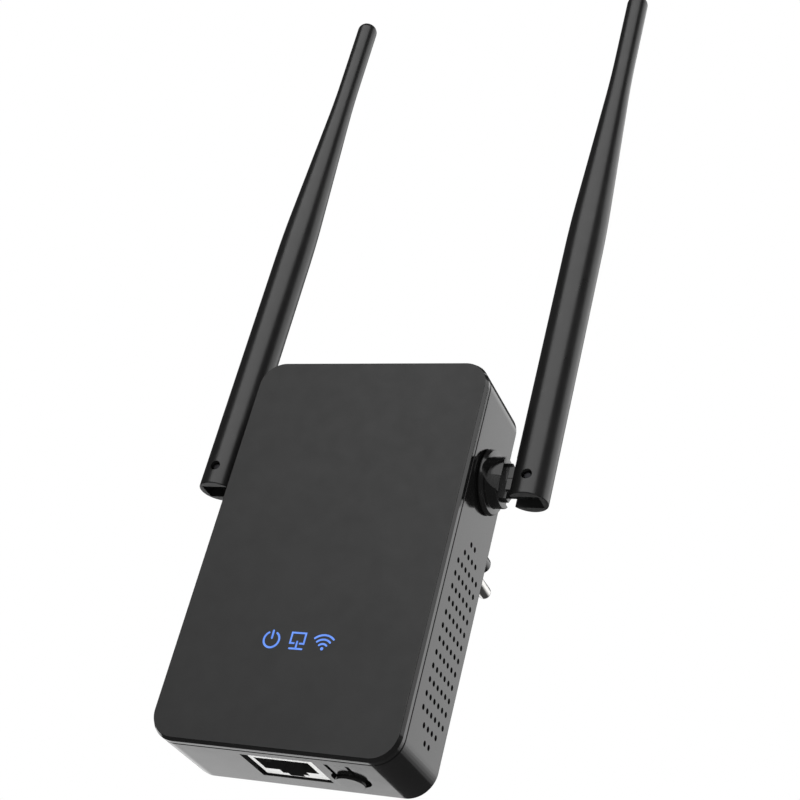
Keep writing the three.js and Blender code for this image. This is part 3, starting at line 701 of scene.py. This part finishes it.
def antenna_radius(height):
    """Straight below, slimming evenly to the tip, with both bends drawn out softly."""
    a = ANTENNA
    soft = 7.0
    samples = 9
    share = 0
    for i in range(samples):
        nearby = height + soft * (2 * i / (samples - 1) - 1)
        t = (nearby - a["start"]) / (a["end"] - a["start"])
        share += min(1, max(0, t)) / samples
    return a["radius"] + (a["tip"] - a["radius"]) * share


def antenna_sleeve(side):
    a = ANTENNA
    margin, rings = 8, 36
    low, length = a["start"] - margin, a["end"] - a["start"] + 2 * margin
    heights = [low + length * i / rings for i in range(rings + 1)]
    base = rounded_path([(0, a["base"], 0), (a["radius"], a["base"], 0.25), (a["radius"], a["base"] + 3, 0)])
    flanks = [(antenna_radius(h), h) for h in heights]
    tip = rounded_path([(a["tip"], a["top"] - 6, 0), (a["tip"], a["top"], 2.3), (0, a["top"], 0)], 12)
    body = turned("z", PIVOT.xy, base[1:] + flanks + tip[:-1], 96)
    front, rear = PIVOT.y - SLOT["half_width"], PIVOT.y + SLOT["half_width"]
    slot = box(PIVOT.x - 10, PIVOT.x + SLOT["reach"], front, rear, a["base"] - 1, SLOT["top"])
    pin_hole = bar("y", (PIVOT.x, PIVOT.z), HINGE_PIN["hole"], 5, 25, 0, 48)
    bore = turned("z", PIVOT.xy, [(2, SLOT["top"] - 1), (1.5, a["top"] - 6)], 32)
    steps = [("DIFFERENCE", slot), ("DIFFERENCE", pin_hole), ("DIFFERENCE", bore)]
    sleeve = settle(shaped(body, steps), f"{side}_sleeve_moulding", SATIN)
    return flatten_shading(on_side(sleeve, side))


# Along X the knuckle is a spigot inside the case, a flange, a barrel, a neck and a tongue
SPIGOT = {"radius": 5.4, "start": 28.5, "cable_hole": 1.7}
FLANGE = {"radius": 8.6, "outer_radius": 8.2, "start": WIDTH / 2 + 0.4, "rim": 0.4, "end": WIDTH / 2 + 1.7}
BARREL = {"radius": 6.7, "end": 38.1}
NECK = {"half_depth": 2.5, "half_height": 5.0, "lean": 1.3, "top_front": 1.3, "top_rear": 1.2, "end": 39.6}
TONGUE_HALF_HEIGHT = 3.2
SEAM = {"half_width": 0.09, "depth": 0.16}
FACET = {"x": 39.2, "radius": 4.6, "reach": 4.4, "step": 0.35, "turned_from": 34.6}
FACET_SLOPE = math.tan(math.radians(10))


def facet_cutter(lower, mirrored):
    """What cuts half of a D-shaped facet. It deepens outwards, and the lower half deepens downwards too."""
    f, y, z = FACET, PIVOT.y, PIVOT.z
    slope = FACET_SLOPE if lower else 0
    reach = y - f["reach"] - (f["step"] if lower else 0)
    start = 180 if lower else 0
    half_circle = arc((f["x"], z), f["radius"], start, start + 180, 36)
    outer = [(x, 0, h) for x, h in half_circle]
    inner = [(x, reach + (z - h) * slope + (x - f["turned_from"]) * FACET_SLOPE, h) for x, h in half_circle]
    return loft([[(x, 2 * y - v if mirrored else v, h) for x, v, h in ring] for ring in (outer, inner)])


def knuckle_neck():
    """An eight-sided neck whose front and rear lean a little."""
    n, end = NECK, TONGUE_HALF_HEIGHT
    half = n["half_depth"]
    corners = (
        (half, -end),
        (half - n["lean"], end),
        (n["top_rear"], n["half_height"]),
        (-n["top_front"], n["half_height"]),
    )
    section = [*corners, *((-v, -w) for v, w in corners)]
    return loft([[(x, PIVOT.y + v, PIVOT.z + w) for v, w in section] for x in (BARREL["end"] - 1, n["end"])])


def knuckle_tongue():
    y, z, end, half = PIVOT.y, PIVOT.z, TONGUE_HALF_HEIGHT, NECK["half_depth"]
    block = box(NECK["end"] - 0.1, PIVOT.x, y - half, y + half, z - end, z + end)
    nose = bar("y", (PIVOT.x, z), end, y - half - 0.001, y + half + 0.001, 0, 64)
    return shaped(block, [("UNION", nose)])


def knuckle_seams():
    """The mould's parting line along the front and rear of the neck and tongue."""
    y, z = PIVOT.y, PIVOT.z
    low, high = NECK["half_depth"] - SEAM["depth"], NECK["half_depth"] + 1
    across = (BARREL["end"] + 0.3, PIVOT.x - TONGUE_HALF_HEIGHT)
    return merged(*(
        box(*across, front, rear, z - SEAM["half_width"], z + SEAM["half_width"])
        for front, rear in ((y - high, y - low), (y + low, y + high))
    ))


def swivel_knuckle(side):
    """Spigot, flange, barrel with a D-shaped flat at the front and rear, neck and tongue."""
    y, z = PIVOT.y, PIVOT.z
    profile = rounded_path([
        (0, SPIGOT["start"], 0),
        (SPIGOT["radius"], SPIGOT["start"], 0.4),
        (SPIGOT["radius"], FLANGE["start"], 0),
        (FLANGE["radius"], FLANGE["start"], 0.15),
        (FLANGE["radius"], FLANGE["start"] + FLANGE["rim"], 0.1),
        (FLANGE["outer_radius"], FLANGE["end"], 0.15),
        (BARREL["radius"], FLANGE["end"], 0.15),
        (BARREL["radius"], BARREL["end"], 0.3),
        (0, BARREL["end"], 0),
    ])[1:-1]
    facets = [facet_cutter(lower, mirrored) for lower in (False, True) for mirrored in (False, True)]
    pin_hole = bar("y", (PIVOT.x, z), HINGE_PIN["knuckle_hole"], 0, 2 * y, 0, 40)
    cable_hole = bar("x", (y, z), SPIGOT["cable_hole"], 27, 37, 0, 32)
    steps = [("DIFFERENCE", facet) for facet in facets] + [
        ("UNION", knuckle_neck()),
        ("UNION", knuckle_tongue()),
        ("DIFFERENCE", knuckle_seams()),
        ("DIFFERENCE", pin_hole),
        ("DIFFERENCE", cable_hole),
    ]
    body = shaped(turned("x", (y, z), profile, 96), steps)
    return soften(on_side(settle(body, f"{side}_knuckle_moulding", KNUCKLE_PLASTIC), side), 0.08)


def hinge_pin(side):
    reach = ANTENNA["radius"] - 1
    pin = bar("y", (PIVOT.x, PIVOT.z), HINGE_PIN["radius"], PIVOT.y - reach, PIVOT.y + reach, 0.2, 32)
    # The pin is dark as painted shade of the hole it sits in.
    return on_side(settle(pin, f"{side}_pin_headed", HOLE_SHADE_STEEL), side)


def case_screw(index, place):
    """A pan head with a cross recess, on its shaft."""
    c, (x, z) = SCREW, place
    profile = rounded_path([
        (0, c["tip"], 0),
        (c["shaft"], c["tip"], 0.3),
        (c["shaft"], c["seat"], 0),
        (c["head"], c["seat"], 0.1),
        (c["head"] - 0.1, c["top"], 0.8),
        (0, c["top"], 0),
    ])[1:-1]
    front, rear = c["top"] - CROSS_RECESS["depth"], c["top"] + 1
    long, short = CROSS_RECESS["half_length"], CROSS_RECESS["half_width"]
    slots = [box(x - a, x + a, front, rear, z - b, z + b) for a, b in ((long, short), (short, long))]
    body = shaped(turned("y", place, profile, 40), [("DIFFERENCE", slot) for slot in slots])
    return into_frame(settle(body, f"case_screw_head_{index}", STEEL))


# Pieces that stand for CAD nodes
finish_piece(front_cover(), "case", "front_cover")
finish_piece(rear_shell(), "case", "rear_shell")
finish_piece(network_jack(), "case", "network_jack")
finish_piece(wps_button(), "button", "wps_button")
finish_piece(plug_stem(), "case", "plug_stem")
for symbol, strokes in (("power", power_symbol), ("network", network_symbol), ("wireless", wireless_symbol)):
    glyph = into_frame(settle(flat_symbol(strokes()), f"{symbol}_symbol", SYMBOL))
    finish_piece(glyph, "case", f"{symbol}_lens")
for index, place in enumerate(SCREWS, 1):
    finish_piece(case_screw(index, place), "case", f"case_screw_{index}")
for side, sign in (("left", -1), ("right", 1)):
    pin_x = sign * PLUG["pin_x"]
    finish_piece(plug_pin(side, pin_x), "case", f"{side}_plug_pin")
    finish_piece(pin_sleeve(side, pin_x), "case", f"{side}_pin_sleeve")
    finish_piece(antenna_sleeve(side), f"{side}_antenna", f"{side}_antenna_sleeve")
    finish_piece(swivel_knuckle(side), f"{side}_swivel", f"{side}_swivel_knuckle")
    finish_piece(hinge_pin(side), f"{side}_antenna", f"{side}_hinge_pin")

# CAD nodes that stay, each with its material
KEPT = {
    ACRYLIC: ["light_guide"],
    BRASS: ["left_plug_contact", "right_plug_contact", "network_jack_contacts"],
    CHIP: ["wps_switch", "wifi_processor", "ethernet_transformer", "board_link", "bridge_rectifier",
           "left_aerial_lead", "right_aerial_lead"],
    WHITE: ["wps_switch_plunger", "power_led", "network_led", "wireless_led"],
    BOARD: ["main_board", "power_board"],
    TIN: ["rf_shield", "mains_fuse"],
    FERRITE: ["transformer_core", "filter_choke"],
    TAPE: ["transformer_coil"],
    CAPACITOR: ["left_bulk_capacitor", "right_bulk_capacitor", "output_capacitor"],
    STEEL: ["left_swivel_ring", "right_swivel_ring"],
    COPPER: ["left_radiator", "right_radiator"],
}
for material, names in KEPT.items():
    for name in names:
        kept_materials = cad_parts[name].data.materials
        kept_materials.clear()
        kept_materials.append(material)


# Camera: below and to the right of the object, turned a little round its own axis
CAMERA_PLACE = (188.97, -324.45, -106.77)
CAMERA_AZIMUTH, CAMERA_ELEVATION, CAMERA_ROLL = (math.radians(a) for a in (28.837, -28.776, 15.234))
LENS, SENSOR = 73.29, 36.0


def add_camera():
    place = ORIGIN + Vector(CAMERA_PLACE) * MM
    azimuth, elevation, roll = CAMERA_AZIMUTH, CAMERA_ELEVATION, CAMERA_ROLL
    ahead = Vector((
        -math.sin(azimuth) * math.cos(elevation),
        math.cos(azimuth) * math.cos(elevation),
        -math.sin(elevation),
    ))
    level = ahead.cross(Vector((0, 0, 1))).normalized()
    upright = level.cross(ahead)
    right = level * math.cos(roll) + upright * math.sin(roll)
    up = upright * math.cos(roll) - level * math.sin(roll)
    camera = bpy.data.objects.new("camera", bpy.data.cameras.new("camera"))
    camera.data.sensor_width = SENSOR
    camera.data.lens = LENS
    camera.data.clip_start = 0.01
    camera.matrix_world = Matrix.Translation(place) @ Matrix((right, up, -ahead)).transposed().to_4x4()
    bpy.context.scene.collection.objects.link(camera)
    bpy.context.scene.camera = camera


FILL = (0.065,) * 3


def softbox(name, heading, elevation, distance, width, height, radiance, reflected=True):
    """A soft light aimed at the case, in metres and degrees. Heading 0 is in front and 90 to the right."""
    centre = ORIGIN + Vector((0, 15, 90)) * MM
    h, e = math.radians(heading), math.radians(elevation)
    away = Vector((math.sin(h) * math.cos(e), -math.cos(h) * math.cos(e), math.sin(e)))
    light = bpy.data.lights.new(name, "AREA")
    light.shape = "RECTANGLE"
    light.size = width
    light.size_y = height
    light.energy = radiance * math.pi * width * height
    obj = bpy.data.objects.new(name, light)
    facing = away.to_track_quat("Z", "Y").to_matrix().to_4x4()
    obj.matrix_world = Matrix.Translation(centre + away * distance) @ facing
    obj.visible_camera = False
    obj.visible_glossy = reflected
    bpy.context.scene.collection.objects.link(obj)


def add_floor():
    """A pale floor well below the object, which its glossy walls don't mirror."""
    radius, low, high = 6000, -780, -760
    material, tree, shader, place = new_material("studio_floor", Roughness=0.9)
    tree.links.new(ramp(tree, noise(tree, place, 3, 3), 0.8, 0.83), shader.inputs["Base Color"])
    floor = into_frame(settle(bar("z", (0, 0), radius, low, high, 0, 128), "studio_floor", material))
    floor.visible_glossy = False


def add_surroundings():
    """White to the camera, and a faint grey fill to everything else."""
    world = bpy.data.worlds.new("studio")
    bpy.context.scene.world = world
    world.use_nodes = True
    tree = world.node_tree
    seen = tree.nodes["Background"]
    seen.inputs["Color"].default_value = (1, 1, 1, 1)
    fill = tree.nodes.new("ShaderNodeBackground")
    fill.inputs["Color"].default_value = (*FILL, 1)
    path = tree.nodes.new("ShaderNodeLightPath")
    mix = tree.nodes.new("ShaderNodeMixShader")
    tree.links.new(path.outputs["Is Camera Ray"], mix.inputs["Fac"])
    tree.links.new(fill.outputs["Background"], mix.inputs[1])
    tree.links.new(seen.outputs["Background"], mix.inputs[2])
    tree.links.new(mix.outputs["Shader"], tree.nodes["World Output"].inputs["Surface"])
    bpy.context.scene.view_settings.view_transform = "Standard"


def add_lights():
    """Light for the face, the right wall and the underside, and one that fills without being mirrored."""
    softbox("front_softbox", 0, 34, 1.6, 2.3, 1.5, 2.1)
    softbox("rear_right_softbox", 135, 34, 1.6, 1.85, 1.7, 1.44)
    for step, radiance in enumerate((0.35, 0.7, 1.05)):
        softbox(f"rear_right_fade_{step}", 135, 6 * step - 9, 1.6, 1.85, 0.168, radiance)
    softbox("rear_lower_softbox", 223, -10.3, 1.1, 0.9, 0.47, 1.2)
    softbox("lower_softbox", 50, -60, 0.9, 0.54, 0.54, 8.2, reflected=False)


add_camera()
add_floor()
add_surroundings()
add_lights()
